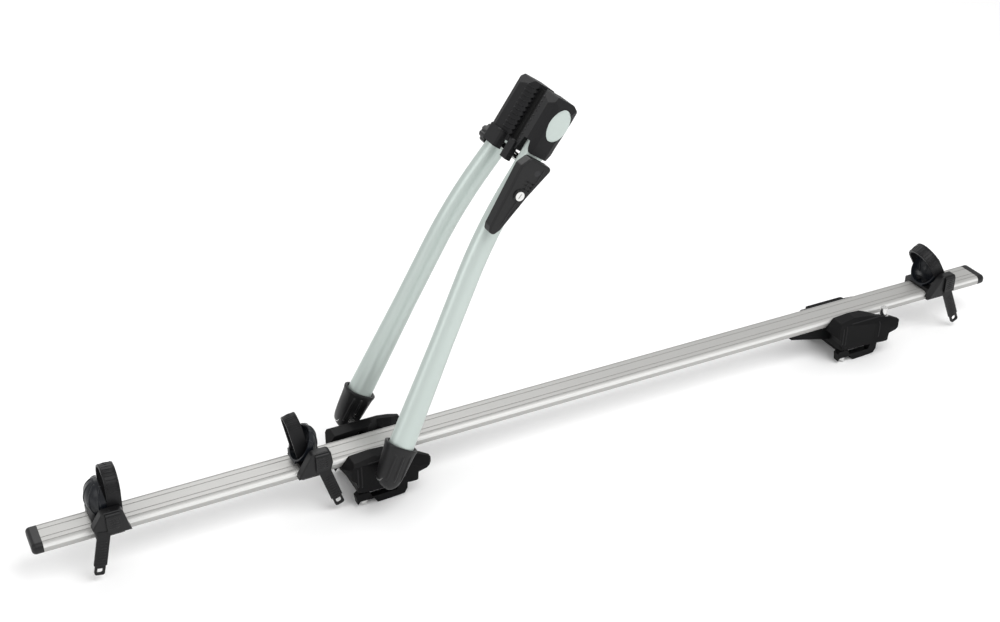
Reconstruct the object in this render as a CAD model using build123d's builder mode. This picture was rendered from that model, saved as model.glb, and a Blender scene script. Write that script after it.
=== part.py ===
"""Roof mounted bike carrier: a rail on two crossbar feet, two folding arms with a frame clamp
at their top, and three wheel holders with straps.

The origin is the middle of the front crossbar seat. +X runs along the rail to the rear wheel,
+Z is up, and the near side of the carrier is at -Y. All lengths are in millimetres."""

import os
from math import cos, radians, sin, sqrt, tan

from build123d import *

os.makedirs("parts", exist_ok=True)

# Clearances that the whole carrier shares
running = 0.05
sliding = 0.4
bolt_room = 0.4
overrun = 2.0

# Rail: a flat hollow extrusion with round sides and a bolt slot underneath
rail_length = 1460.0
rail_width = 46.0
rail_height = 15.5
rail_side_radius = 7.0
rail_wall = 2.2
rail_lead = 430.0
rail_slot = 9.0
rail_groove = 1.4
rail_groove_depth = 0.6
rail_groove_shares = (-0.36, -0.18, 0.18, 0.36)
cap_length = 14.0
cap_round = 5.5
cap_plug_length = 22.0
cap_plug_gap = 0.15

# Crossbar feet
seat_to_rail = 28.5
rear_foot_inset = 249.0
pad_thickness = 3.0
base_front = 34.0
base_rear = 36.0
base_half_width = 47.0
base_corner = 4.0
front_tongue = 47.0
rear_tongue = 107.0
tongue_half_width = 19.0
tongue_tip = 4.0
ear_thickness = 11.0
ear_half_length = 12.0
ear_top = 46.0
rail_bolt_radius = 3.0
rail_bolt_head_radius = 5.5
rail_bolt_head_height = 4.0
rail_bolt_shoulder = 14.0
rail_bolt_pitch = 34.0
t_nut_length = 22.0
t_nut_width = 15.0
t_nut_height = 4.0

# Foot covers, one on each side of the rail
cover_crest = 49.0
cover_reach = 69.5
cover_half_width = 57.0
low_cover_crest = 25.0
cover_rail_gap = 1.6
cover_round = 2.5
cover_pin_room = 1.5
cover_plan_shares = ((-0.72, 0.43), (-0.6, 0.86), (0.32, 0.93), (0.72, 1.0), (0.92, 1.0),
                     (1.0, 0.9), (0.75, 0.76), (0.43, 0.72), (0.26, 0.54), (0.15, 0.43))
cover_side_shares = ((-0.72, 0.62), (-0.53, 0.96), (-0.14, 1.0), (0.29, 0.96), (0.72, 0.82),
                     (0.95, 0.69), (1.0, 0.53), (0.86, 0.37), (0.69, 0.31), (0.69, 0.03),
                     (-0.43, 0.03), (-0.49, 0.2), (-0.53, 0.41))
cover_front_shares = ((0.2, -0.2), (0.95, -0.2), (1.01, 0.45), (0.94, 0.72), (0.87, 0.9),
                      (0.7, 1.02), (0.2, 1.02))
top_bolt_place = 45.0
top_bolt_lane = 42.0
top_bolt_boss = 7.0
top_bolt_seat = 38.5
top_bolt_radius = 3.0
top_bolt_depth = 16.0
top_bolt_head_radius = 5.5
top_bolt_head_height = 13.0
washer_radius = 7.5
washer_height = 1.6

# Crossbar clamp under each foot
claw_thickness = 10.0
claw_lane = 41.0
claw_length = 37.0
claw_depth = 23.0
claw_shares = ((-1.0, -0.26), (-0.95, -0.83), (-0.86, -0.65), (-0.32, -0.65), (-0.19, -1.0),
               (0.27, -0.98), (0.86, -0.92), (0.97, -0.61), (0.99, -0.13), (0.65, -0.13),
               (0.57, -0.52), (-0.38, -0.52), (-0.49, -0.13), (-0.89, -0.13))
claw_screw_front = 25.0
claw_screw_rear = 30.5
claw_screw_radius = 3.0
claw_screw_reach = 20.0
claw_head_radius = 5.0
claw_head_height = 5.0
claw_head_share = 0.65
claw_tie_radius = 3.0
claw_tie_shares = ((-0.65, -0.4), (0.84, -0.74))

# Arms
pivot_height = 38.0
arm_base_spread = 74.5
arm_converge = 0.0975
arm_lean = 26.9
head_lean = 38.0
arm_knee_rise = 303.0
arm_bend_radius = 650.0
arm_tip_length = 180.0
arm_start = 16.0
arm_taper_end = 190.0
tube_half_depth = 15.5
tube_half_width = 12.0
tube_flare_depth = 3.0
tube_flare_width = 2.0
tube_wall = 2.0
pivot_pin_radius = 5.0
trunnion_radius = 9.0
trunnion_half_length = 15.0
boot_root_radius = 17.0
boot_belly = 21.0
boot_belly_rise = 18.0
boot_half_depth = 22.0
boot_half_width = 16.0
boot_height = 44.0
boot_rim_drop = 4.7
boot_flare = 1.5
boot_round = 6.0
boot_pin_room = 1.4
boot_screw_radius = 2.5
boot_screw_height = 1.6
boot_screw_shank = 1.3
boot_screw_length = 4.0
boot_screw_rise_share = 0.29

# Frame clamp at the top of the arms
head_x = 219.0
head_z = 428.0
jaw_lean = 35.0
jaw_front = 18.0
jaw_back = 21.5
jaw_outer = 50.5
jaw_lip = 8.5
jaw_top = 80.0
jaw_root = -2.0
jaw_corner = 2.0
jaw_wave = 4.0
jaw_section_shares = ((-0.5, 0.0), (-0.89, 0.32), (-1.0, 0.68), (-0.89, 0.9), (-0.5, 1.0),
                      (0.6, 1.0), (1.1, 0.84), (1.1, 0.0))
jaw_side_shares = ((-1.02, -0.04), (-1.02, 0.84), (-0.7, 1.01), (0.6, 1.01), (1.04, 0.93),
                   (1.08, 0.78), (1.04, 0.5), (0.98, 0.3), (1.02, -0.04))
jaw_face_shares = ((0.1, -0.03), (0.5, -0.03), (0.6, 0.22), (0.87, 0.22), (0.95, 0.05),
                   (1.02, 0.05), (1.02, 0.84), (0.86, 1.01), (0.1, 1.01))
far_face_shares = ((0.1, -0.03), (1.02, -0.03), (1.02, 0.84), (0.86, 1.01), (0.1, 1.01))
jaw_window_half_width = 14.8
jaw_window_half_length = 22.0
jaw_window_u = 5.0
jaw_window_v = 49.5
jaw_window_depth = 12.0
jaw_window_sink = 1.5
jaw_window_gap = 0.3
jaw_tooth_radius = 2.4
jaw_tooth_pitch = 6.5
jaw_tooth_count = 11
jaw_tooth_depth = 3.0
skirt_front = 19.5
skirt_back = 9.0
skirt_drop = 16.0
tongue_drop = 20.0
tongue_inner = 6.0
tongue_outer = 20.0
tongue_depth = 8.0
pad_gap = 0.4
pad_front = 5.0
pad_back = 17.0
pad_top = 76.0
pad_stripe = 12.0
pad_stripe_depth = 1.6
pad_corner = 2.5

# Cross rod, clamp lever with its lock, and adjuster knob
rod_x = 211.0
rod_z = 420.0
rod_radius = 5.0
rod_near_end = 64.0
rod_far_end = 62.0
rod_rise = 6.0
rod_room = 1.0
bush_radius = 9.4
bush_bore = 7.4
bush_foot = 45.0
bush_end = 65.0
lever_inner = 57.4
lever_thickness = 15.0
lever_length = 92.0
lever_width = 26.0
lever_round = 2.5
lever_corner = 5.0
lever_shares = ((-0.75, 0.14), (0.3, 0.15), (0.64, 0.16), (0.29, -0.34), (0.05, -0.9),
                (-0.12, -1.0), (-0.42, -1.0), (-0.56, -0.92), (-1.0, -0.01))
lever_rib_count = 3
lever_rib_pitch = 5.0
lever_rib_width = 2.4
lever_rib_length = 13.0
lever_rib_depth = 1.2
lever_rib_start = 14.0
lever_screw_radius = 4.0
lever_screw_height = 2.2
lever_screw_shank = 2.0
lever_screw_length = 3.0
lock_u = 5.0
lock_v = 34.0
lock_housing_radius = 8.0
lock_housing_depth = 10.0
lock_housing_stand = 1.2
lock_floor = 2.0
lock_radius = 6.0
lock_stand = 3.0
key_slot_width = 1.4
key_slot_length = 6.5
key_slot_depth = 1.5
knob_radius = 13.0
knob_length = 13.0
knob_start = 51.6
knob_lobes = 8
knob_scallop_radius = 3.0
knob_round = 1.5

# Wheel holders: a saddle on the rail, a wheel cup, and a strap with its buckle
holder_names = ("front", "middle", "rear")
holder_facing = (1, -1, -1)
front_holder_inset = 82.0
middle_holder_place = -87.0
rear_holder_inset = 90.0
strap_base_places = (7.0, 4.0, -19.0)
strap_tops = (115.0, 116.0, 110.0)
strap_leans = (2.0, 11.0, 31.0)
tail_leans = (13.0, 17.0, 24.0)
saddle_half_length = 20.5
saddle_front_length = 15.0
saddle_side = 4.5
saddle_bottom = 32.0
saddle_top = 50.0
saddle_round = 3.5
cup_leads = (3.0, 20.0, 18.0)
cup_tilts = (8.0, 30.0, 30.0)
cup_half_width = 24.5
cup_half_height = 25.5
cup_bowl_radius = 26.8
cup_wall = 3.5
cup_rim = 1.0
cup_neck_half_width = 13.0
cup_neck_back = 17.0
cup_neck_front = 3.0
cup_neck_height = 15.0
cup_screw_radius = 2.2
cup_screw_head_radius = 4.0
cup_screw_head_height = 2.4
cup_screw_length = 7.0
cup_screw_lane = 6.5
cup_flange_height = 3.0
cup_flange_length = 12.0
strap_width = 18.0
strap_thickness = 3.0
strap_half_spans = (26.0, 14.0, 26.0)
strap_root = 46.0
tail_width = 16.0
tail_lane = 36.5
tail_place = 12.0
tail_end = -13.0
tail_neck = 13.0
tail_neck_length = 14.0
eyelet_width = 7.0
eyelet_length = 9.0
eyelet_edge = 2.8
buckle_outer = 39.0
buckle_bottom = 41.0
buckle_shoulder = 14.0
buckle_top = 75.0
buckle_head = 25.0
buckle_crown = 6.0
buckle_round = 2.0
buckle_leads = (14.0, 3.0, 0.0)
buckle_shares = ((1.0, 0.4), (1.1, 0.0), (-1.0, 0.0), (-1.2, 1.0))
release_pin_radius = 1.5
release_pin_drop = 5.0
release_knuckle = 3.2
release_half_width = 9.0
release_thickness = 2.4
release_length = 22.0
release_gap = 0.6

# Places that follow from the sizes above
rail_top = seat_to_rail + rail_height
rail_middle = seat_to_rail + rail_height / 2
rail_end = rail_length - rail_lead
rail_half = rail_width / 2
cavity_floor = seat_to_rail + rail_wall
claw_head_seat = -claw_head_share * claw_depth
lever_outer = lever_inner + lever_thickness
foot_pitch = rail_end - rear_foot_inset
holder_places = (front_holder_inset - rail_lead, middle_holder_place, rail_end - rear_holder_inset)
seats = {"front": 0.0, "rear": foot_pitch}
tongues = {"front": front_tongue, "rear": rear_tongue}
rail_gaps = {"front": 0.0, "rear": sliding}


def save(piece, name):
    piece.part.label = name
    export_step(piece.part, f"parts/{name}.step")
    print(f"{name}: {len(piece.part.solids())} solids, {piece.part.volume / 1000:.1f} cm3")


def scaled(shares, wide, high, x=0.0, y=0.0):
    """Outline points from a table of shares."""
    return [(x + wide * a, y + high * b) for a, b in shares]


def leaning(lean):
    """Directions across and along a member that leans back by this angle."""
    tilt = radians(lean)
    return Vector(cos(tilt), 0, -sin(tilt)), Vector(sin(tilt), 0, cos(tilt))


# Rail and its caps


def make_rail():
    with BuildPart() as rail:
        with BuildSketch(Plane.YZ.offset(-rail_lead)):
            with Locations((0, rail_middle)):
                RectangleRounded(rail_width, rail_height, rail_side_radius)
                RectangleRounded(rail_width - 2 * rail_wall, rail_height - 2 * rail_wall,
                                 rail_side_radius - rail_wall, mode=Mode.SUBTRACT)
            with Locations((0, seat_to_rail + rail_wall / 2)):
                Rectangle(rail_slot, rail_wall + overrun, mode=Mode.SUBTRACT)
            with Locations([(share * rail_width, rail_top) for share in rail_groove_shares]):
                Rectangle(rail_groove, 2 * rail_groove_depth, mode=Mode.SUBTRACT)
        extrude(amount=rail_length)
    return rail


def make_cap(end, facing):
    outside = Plane((end, 0, rail_middle), x_dir=(0, 1, 0), z_dir=(facing, 0, 0))
    inset = 2 * (rail_wall + cap_plug_gap)
    with BuildPart() as cap:
        with BuildSketch(outside):
            RectangleRounded(rail_width, rail_height, rail_side_radius)
        extrude(amount=cap_length)
        fillet(cap.faces().sort_by(Axis.X)[-1 if facing > 0 else 0].edges(), cap_round)
        with BuildSketch(outside):
            RectangleRounded(rail_width - inset, rail_height - inset,
                             rail_side_radius - rail_wall - cap_plug_gap)
        extrude(amount=-cap_plug_length)
    return cap


# Crossbar feet


def base_plan(seat):
    return seat + (base_rear - base_front) / 2, base_front + base_rear, 2 * base_half_width


def screw_places(seat):
    return [(seat + x, side * claw_lane)
            for x in (-claw_screw_front, claw_screw_rear) for side in (-1, 1)]


def rail_bolt_places(seat):
    return [(seat - rail_bolt_pitch / 2, 0), (seat + rail_bolt_pitch / 2, 0)]


def make_foot_base(foot):
    seat, top = seats[foot], seat_to_rail - rail_gaps[foot]
    middle, length, width = base_plan(seat)
    with BuildPart() as base:
        with BuildSketch(Plane.XY.offset(pad_thickness)):
            with Locations((middle, 0)):
                RectangleRounded(length, width, base_corner)
        extrude(amount=top - pad_thickness)
        # A tongue runs forward under the rail
        with BuildSketch(Plane.XZ):
            with BuildLine():
                Polyline((seat - tongues[foot], top), (seat - tongues[foot], top - tongue_tip),
                         (seat - base_front, 2 * pad_thickness), (seat, 2 * pad_thickness),
                         (seat, top), close=True)
            make_face()
        extrude(amount=tongue_half_width, both=True)
        # Ears beside the rail; the rear foot has only the near one
        ear_lane = base_half_width - ear_thickness / 2
        ears = [(seat, -ear_lane)] + ([(seat, ear_lane)] if foot == "front" else [])
        with BuildSketch(Plane.XY.offset(top)):
            with Locations(ears):
                Rectangle(2 * ear_half_length, ear_thickness)
        extrude(amount=ear_top - top)
        if foot == "front":
            with BuildSketch(Plane.XZ):
                with Locations((seat, pivot_height)):
                    Circle(pivot_pin_radius)
            extrude(amount=base_half_width + overrun, both=True, mode=Mode.SUBTRACT)
        # Bores for the clamp screws and stepped bores for the rail bolts
        with BuildSketch():
            with Locations(screw_places(seat)):
                Circle(claw_screw_radius + bolt_room)
        extrude(amount=claw_screw_reach + overrun, mode=Mode.SUBTRACT)
        with BuildSketch():
            with Locations(rail_bolt_places(seat)):
                Circle(rail_bolt_radius + bolt_room)
        extrude(amount=seat_to_rail + overrun, mode=Mode.SUBTRACT)
        with BuildSketch():
            with Locations(rail_bolt_places(seat)):
                Circle(rail_bolt_head_radius + bolt_room)
        extrude(amount=rail_bolt_shoulder, mode=Mode.SUBTRACT)
    return base


def make_sole_pad(foot):
    seat = seats[foot]
    middle, length, width = base_plan(seat)
    with BuildPart() as pad:
        with BuildSketch():
            with Locations((middle, 0)):
                RectangleRounded(length, width, base_corner)
            with Locations(screw_places(seat)):
                Circle(claw_screw_radius + bolt_room, mode=Mode.SUBTRACT)
            with Locations(rail_bolt_places(seat)):
                Circle(rail_bolt_head_radius + bolt_room, mode=Mode.SUBTRACT)
        extrude(amount=pad_thickness)
    return pad


def make_cover(foot, side):
    seat, top = seats[foot], seat_to_rail - rail_gaps[foot]
    middle, length, width = base_plan(seat)
    ear_lane = base_half_width - ear_thickness / 2
    with_boss = foot == "rear" and side < 0
    crest = low_cover_crest if foot == "rear" and side > 0 else cover_crest
    with BuildPart() as cover:
        with BuildSketch():
            with BuildLine():
                Polyline(scaled(cover_plan_shares, cover_reach, side * cover_half_width, seat),
                         close=True)
            make_face()
            fillet(vertices(), cover_round)
        extrude(amount=crest)
        with BuildSketch(Plane.XZ) as side_view:
            with BuildLine():
                Polyline(scaled(cover_side_shares, cover_reach, crest, seat), close=True)
            make_face()
            fillet(side_view.vertices(), cover_round)
        extrude(amount=cover_half_width + overrun, both=True, mode=Mode.INTERSECT)
        with BuildSketch(Plane.YZ.offset(seat)) as front_view:
            with BuildLine():
                Polyline(scaled(cover_front_shares, side * cover_half_width, crest),
                         close=True)
            make_face()
            fillet(front_view.vertices(), cover_round)
        extrude(amount=cover_reach + overrun, both=True, mode=Mode.INTERSECT)
        if with_boss:
            with BuildSketch(Plane.XY.offset(top_bolt_seat)):
                with Locations((seat + top_bolt_place, side * top_bolt_lane)):
                    Circle(top_bolt_boss)
            extrude(amount=-top_bolt_depth - overrun)
        # Room for the base with its ear, the rail and the pivot pin
        with BuildSketch(Plane.XY.offset(-overrun)):
            with Locations((middle, 0)):
                RectangleRounded(length, width, base_corner)
        extrude(amount=top + overrun, mode=Mode.SUBTRACT)
        with BuildSketch():
            with Locations((seat, side * ear_lane)):
                Rectangle(2 * ear_half_length, ear_thickness)
            with Locations((seat, 0)):
                Rectangle(2 * (cover_reach + overrun), rail_width + 2 * cover_rail_gap)
        extrude(amount=ear_top, mode=Mode.SUBTRACT)
        with BuildSketch():
            with Locations((seat, 0)):
                Rectangle(2 * (cover_reach + overrun), rail_width + 2 * cover_rail_gap)
        extrude(amount=cover_crest + overrun, mode=Mode.SUBTRACT)
        if foot == "front":
            with BuildSketch(Plane.XZ):
                with Locations((seat, pivot_height)):
                    Circle(pivot_pin_radius + cover_pin_room)
            extrude(amount=cover_half_width + overrun, both=True, mode=Mode.SUBTRACT)
        if with_boss:
            with BuildSketch(Plane.XY.offset(top_bolt_seat)):
                with Locations((seat + top_bolt_place, side * top_bolt_lane)):
                    Circle(top_bolt_radius)
            extrude(amount=-top_bolt_depth, mode=Mode.SUBTRACT)
            with BuildSketch(Plane.XY.offset(top_bolt_seat)):
                with Locations((seat + top_bolt_place, side * top_bolt_lane)):
                    Circle(washer_radius)
            extrude(amount=cover_crest, mode=Mode.SUBTRACT)
    return cover


def make_top_bolt():
    place = (seats["rear"] + top_bolt_place, -top_bolt_lane)
    with BuildPart() as bolt:
        with BuildSketch(Plane.XY.offset(top_bolt_seat)):
            with Locations(place):
                Circle(top_bolt_radius)
        extrude(amount=-top_bolt_depth)
        with BuildSketch(Plane.XY.offset(top_bolt_seat)):
            with Locations(place):
                Circle(washer_radius)
        extrude(amount=washer_height)
        with BuildSketch(Plane.XY.offset(top_bolt_seat + washer_height)):
            with Locations(place):
                Circle(top_bolt_head_radius)
        extrude(amount=top_bolt_head_height)
    return bolt


def make_rail_bolts(foot):
    places = rail_bolt_places(seats[foot])
    reach = cavity_floor + rail_gaps[foot] + t_nut_height
    with BuildPart() as bolts:
        with BuildSketch(Plane.XY.offset(rail_bolt_shoulder)):
            with Locations(places):
                Circle(rail_bolt_radius)
        extrude(amount=reach - rail_bolt_shoulder)
        with BuildSketch(Plane.XY.offset(rail_bolt_shoulder)):
            with Locations(places):
                Circle(rail_bolt_head_radius)
        extrude(amount=-rail_bolt_head_height)
    return bolts


def make_t_nuts(foot):
    places = rail_bolt_places(seats[foot])
    with BuildPart() as nuts:
        with BuildSketch(Plane.XY.offset(cavity_floor + rail_gaps[foot])):
            with Locations(places):
                Rectangle(t_nut_length, t_nut_width)
                Circle(rail_bolt_radius, mode=Mode.SUBTRACT)
        extrude(amount=t_nut_height)
    return nuts


def make_pivot_pin(side):
    grip = sqrt(trunnion_radius**2 - pivot_pin_radius**2) - sliding
    start = base_half_width - ear_thickness
    with BuildPart() as pin:
        with BuildSketch(Plane((0, side * start, pivot_height), x_dir=(1, 0, 0),
                               z_dir=(0, side, 0))):
            Circle(pivot_pin_radius)
        extrude(amount=arm_base_spread + grip - start)
    return pin


def make_clamp_yoke(foot):
    seat = seats[foot]
    with BuildPart() as yoke:
        for side in (-1, 1):
            with BuildSketch(Plane.XZ.offset(side * claw_lane)) as claw:
                with BuildLine():
                    Polyline(scaled(claw_shares, claw_length, claw_depth, seat), close=True)
                make_face()
                fillet(claw.vertices(), running)
            extrude(amount=claw_thickness / 2, both=True)
        with BuildSketch(Plane.XZ):
            with Locations(scaled(claw_tie_shares, claw_length, claw_depth, seat)):
                Circle(claw_tie_radius)
        extrude(amount=claw_lane - claw_thickness / 2, both=True)
        with BuildSketch(Plane.XY.offset(-claw_depth - overrun)):
            with Locations(screw_places(seat)):
                Circle(claw_screw_radius)
        extrude(amount=claw_depth + overrun, mode=Mode.SUBTRACT)
        with BuildSketch(Plane.XY.offset(claw_head_seat)):
            with Locations(screw_places(seat)):
                Circle(claw_head_radius)
        extrude(amount=-claw_depth, mode=Mode.SUBTRACT)
    return yoke


def make_clamp_screws(foot):
    with BuildPart() as screws:
        with BuildSketch(Plane.XY.offset(claw_head_seat)):
            with Locations(screw_places(seats[foot])):
                Circle(claw_screw_radius)
        extrude(amount=claw_screw_reach - claw_head_seat)
        with BuildSketch(Plane.XY.offset(claw_head_seat)):
            with Locations(screw_places(seats[foot])):
                Circle(claw_head_radius)
        extrude(amount=-claw_head_height)
    return screws


# Arms


def arm_points(side):
    """Pivot, knee and tip of one arm's centre line."""
    across, along = leaning(head_lean)
    pivot = Vector(0, side * arm_base_spread, pivot_height)
    knee = pivot + Vector(tan(radians(arm_lean)), -side * arm_converge, 1) * arm_knee_rise
    tip = knee + (along + Vector(0, -side * arm_converge * along.Z, 0)) * arm_tip_length
    return pivot, knee, tip


def arm_oval(place, toward, shrink, flare):
    across, along = leaning(arm_lean)
    with BuildSketch(Plane(place, x_dir=across, z_dir=toward)) as oval:
        Ellipse(tube_half_depth + flare * tube_flare_depth - shrink,
                tube_half_width + flare * tube_flare_width - shrink)
    return oval.sketch


def make_arm_body(side, shrink):
    """The arm's outer form, or its bore when shrink is the wall."""
    pivot, knee, tip = arm_points(side)
    along = (knee - pivot).normalized()
    start, taper = pivot + along * arm_start, pivot + along * arm_taper_end
    foot, neck = arm_oval(start, along, shrink, 1), arm_oval(taper, along, shrink, 0)
    with BuildPart() as body:
        loft(sections=[foot, neck])
        with BuildLine() as path:
            FilletPolyline(taper, knee, tip, radius=arm_bend_radius)
        sweep(sections=neck, path=path.wire())
    return body


def make_arm_tube(side, body):
    bore = make_arm_body(side, tube_wall)
    across, along = leaning(head_lean)
    rise = rod_rise if side < 0 else 0
    room = rod_room if side < 0 else 0
    middle = Vector(rod_x, 0, rod_z) + along * rise / 2
    window = jaw_window_plane(side)
    with BuildPart() as tube:
        add(body.part)
        # The oval boss that shows in the window of the jaw
        with BuildSketch(window.offset(-jaw_window_sink)):
            with Locations((-side * jaw_window_u, jaw_window_v)):
                Ellipse(jaw_window_half_width - jaw_window_gap,
                        jaw_window_half_length - jaw_window_gap)
        extrude(amount=jaw_window_sink - jaw_window_depth)
        add(bore.part, mode=Mode.SUBTRACT)
        with BuildSketch(Plane(middle, x_dir=along, z_dir=(0, 1, 0))):
            if rise > 0:
                SlotCenterToCenter(rise, 2 * (rod_radius + room))
            else:
                Circle(rod_radius)
        extrude(amount=arm_base_spread, both=True, mode=Mode.SUBTRACT)
    return tube


def make_boot(side, body):
    pivot, knee, tip = arm_points(side)
    across = leaning(arm_lean)[0]
    along = (knee - pivot).normalized()
    normal = across.cross(along)
    with BuildPart() as boot:
        with BuildSketch(Plane(pivot, x_dir=across, z_dir=normal)):
            with BuildLine():
                wide = boot_half_depth + boot_flare
                Polyline((-boot_root_radius, 0), (-boot_belly, boot_belly_rise),
                         (-wide, boot_height + boot_rim_drop / 2),
                         (wide, boot_height - boot_rim_drop / 2), (boot_belly, boot_belly_rise),
                         (boot_root_radius, 0))
                ThreePointArc((boot_root_radius, 0), (0, -boot_root_radius),
                              (-boot_root_radius, 0))
            make_face()
        extrude(amount=boot_half_width, both=True)
        sides = boot.faces().sort_by(Axis(pivot, normal))
        fillet(sides[0].edges() + sides[-1].edges(), boot_round)
        add(body.part, mode=Mode.SUBTRACT)
        # Blind bore for the trunnion, open at the back, and a hole for the pivot pin
        with BuildSketch(Plane(pivot - across * trunnion_half_length, x_dir=(0, 1, 0),
                               z_dir=across)):
            Circle(trunnion_radius + running)
        extrude(amount=trunnion_half_length + boot_half_depth + overrun, mode=Mode.SUBTRACT)
        with BuildSketch(Plane(pivot, x_dir=(1, 0, 0), z_dir=(0, -side, 0))):
            Circle(pivot_pin_radius + boot_pin_room)
        extrude(amount=boot_half_width + overrun, mode=Mode.SUBTRACT)
        place, inward = boot_screw_frame(side)
        with BuildSketch(Plane(place, x_dir=across, z_dir=-inward)):
            Circle(boot_screw_shank)
        extrude(amount=boot_screw_length, mode=Mode.SUBTRACT)
    return boot


def boot_screw_frame(side):
    """The middle of the screw's seat on the boot's inner face, and the way it faces."""
    pivot, knee, tip = arm_points(side)
    across = leaning(arm_lean)[0]
    along = (knee - pivot).normalized()
    inward = across.cross(along) * side
    return pivot + along * boot_height * boot_screw_rise_share + inward * boot_half_width, inward


def make_boot_screw(side):
    place, inward = boot_screw_frame(side)
    across = leaning(arm_lean)[0]
    with BuildPart() as screw:
        with BuildSketch(Plane(place, x_dir=across, z_dir=inward)):
            Circle(boot_screw_radius)
        extrude(amount=boot_screw_height)
        with BuildSketch(Plane(place, x_dir=across, z_dir=-inward)):
            Circle(boot_screw_shank)
        extrude(amount=boot_screw_length)
    return screw


def make_trunnion(side):
    pivot = arm_points(side)[0]
    across = leaning(arm_lean)[0]
    with BuildPart() as trunnion:
        with BuildSketch(Plane(pivot, x_dir=(0, 1, 0), z_dir=across)):
            Circle(trunnion_radius)
        extrude(amount=trunnion_half_length, both=True)
        with BuildSketch(Plane(pivot, x_dir=(1, 0, 0), z_dir=(0, 1, 0))):
            Circle(pivot_pin_radius + running)
        extrude(amount=trunnion_radius + overrun, both=True, mode=Mode.SUBTRACT)
    return trunnion


# Frame clamp head

jaw_across, jaw_up = leaning(jaw_lean)
head_origin = Vector(head_x, 0, head_z)
jaw_section_plane = Plane(head_origin, x_dir=jaw_across, z_dir=jaw_up)
jaw_side_plane = Plane(head_origin, x_dir=jaw_across, z_dir=(0, -1, 0))
jaw_face_plane = Plane(head_origin, x_dir=(0, 1, 0), z_dir=jaw_across)


def jaw_window_plane(side):
    """The outer face of one jaw, facing outward, with its y along the jaw."""
    place = head_origin + Vector(0, side * jaw_outer, 0)
    return Plane(place, x_dir=jaw_across * -side, z_dir=(0, side, 0))


def jaw_outline(shares):
    """Side points of a jaw: forward ones follow its front, the others its back."""
    return [(u * (jaw_front if u < 0 else jaw_back), v * jaw_top) for u, v in shares]


def make_jaw(side, body):
    width = jaw_outer - jaw_lip
    section = [(u * (jaw_front if u < 0 else jaw_back), side * (jaw_lip + w * width))
               for u, w in jaw_section_shares]
    with BuildPart() as jaw:
        with BuildSketch(jaw_section_plane.offset(jaw_root)) as plan:
            with BuildLine():
                Polyline(section, close=True)
            make_face()
            fillet(plan.vertices(), jaw_corner)
        extrude(amount=jaw_top - jaw_root)
        with BuildSketch(jaw_side_plane) as side_view:
            with BuildLine():
                Polyline(jaw_outline(jaw_side_shares), close=True)
            make_face()
            fillet(side_view.vertices(), jaw_wave)
        extrude(amount=jaw_outer + overrun, both=True, mode=Mode.INTERSECT)
        with BuildSketch(jaw_face_plane) as face_view:
            with BuildLine():
                shares = jaw_face_shares if side < 0 else far_face_shares
                Polyline(scaled(shares, side * jaw_outer, jaw_top), close=True)
            make_face()
            fillet(face_view.vertices(), jaw_corner)
        extrude(amount=jaw_back + overrun, both=True, mode=Mode.INTERSECT)
        if side < 0:
            # The near jaw has a tongue that hangs below it at the front
            with BuildSketch(jaw_section_plane.offset(-tongue_drop)):
                with Locations((-jaw_front + tongue_depth / 2,
                                side * (tongue_inner + tongue_outer) / 2)):
                    Rectangle(tongue_depth, tongue_outer - tongue_inner)
            extrude(amount=tongue_drop + jaw_tooth_pitch)
        else:
            # The far one has a skirt that hides the rod from the front
            with BuildSketch(jaw_section_plane.offset(-skirt_drop)) as skirt:
                with Locations((-(skirt_front + skirt_back) / 2, side * (jaw_lip + jaw_outer) / 2)):
                    Rectangle(skirt_front - skirt_back, jaw_outer - jaw_lip - 2 * jaw_wave)
                fillet(skirt.vertices().group_by(Axis.X)[0], jaw_wave)
            extrude(amount=skirt_drop + jaw_tooth_pitch)
        add(body.part, mode=Mode.SUBTRACT)
        # Oval window in the outer side
        with BuildSketch(jaw_window_plane(side)):
            with Locations((-side * jaw_window_u, jaw_window_v)):
                Ellipse(jaw_window_half_width, jaw_window_half_length)
        extrude(amount=jaw_window_depth, both=True, mode=Mode.SUBTRACT)
        # Row of notches along the front of the inner edge
        teeth = [(side * jaw_lip, jaw_tooth_pitch * (row + 1)) for row in range(jaw_tooth_count)]
        with BuildSketch(jaw_face_plane.offset(-jaw_front - overrun)):
            with Locations(teeth):
                RegularPolygon(jaw_tooth_radius, 4)
        extrude(amount=jaw_front / 2 + overrun + jaw_tooth_depth, mode=Mode.SUBTRACT)
    return jaw


def make_jaw_pad(side):
    depth = pad_front + pad_back
    with BuildPart() as pad:
        with BuildSketch(jaw_section_plane):
            with Locations(((pad_back - pad_front) / 2, side * (pad_gap + jaw_lip) / 2)):
                Rectangle(depth, jaw_lip - pad_gap)
            with Locations(((pad_back - pad_front) / 2, side * pad_gap)):
                Rectangle(pad_stripe, 2 * pad_stripe_depth, mode=Mode.SUBTRACT)
        extrude(amount=pad_top)
        fillet(pad.edges().filter_by(Axis.Y).group_by(Axis.Z)[0], pad_corner)
    return pad


def make_cross_rod():
    with BuildPart() as rod:
        with BuildSketch(Plane((rod_x, -rod_near_end, rod_z), x_dir=(1, 0, 0), z_dir=(0, 1, 0))):
            Circle(rod_radius)
        extrude(amount=rod_near_end + rod_far_end)
    return rod


def rod_plane_at(y, outward=-1):
    """A plane across the rod, with its upper edge along the tube."""
    across, along = leaning(head_lean)
    return Plane((rod_x, y, rod_z), x_dir=across * -outward, z_dir=(0, outward, 0))


def make_lever_bush(body):
    with BuildPart() as bush:
        with BuildSketch(rod_plane_at(-bush_foot)):
            Circle(bush_radius)
        extrude(amount=bush_end - bush_foot)
        add(body.part, mode=Mode.SUBTRACT)
        with BuildSketch(rod_plane_at(-bush_foot)):
            Circle(bush_bore)
        extrude(amount=bush_end - bush_foot, mode=Mode.SUBTRACT)
    return bush


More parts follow.
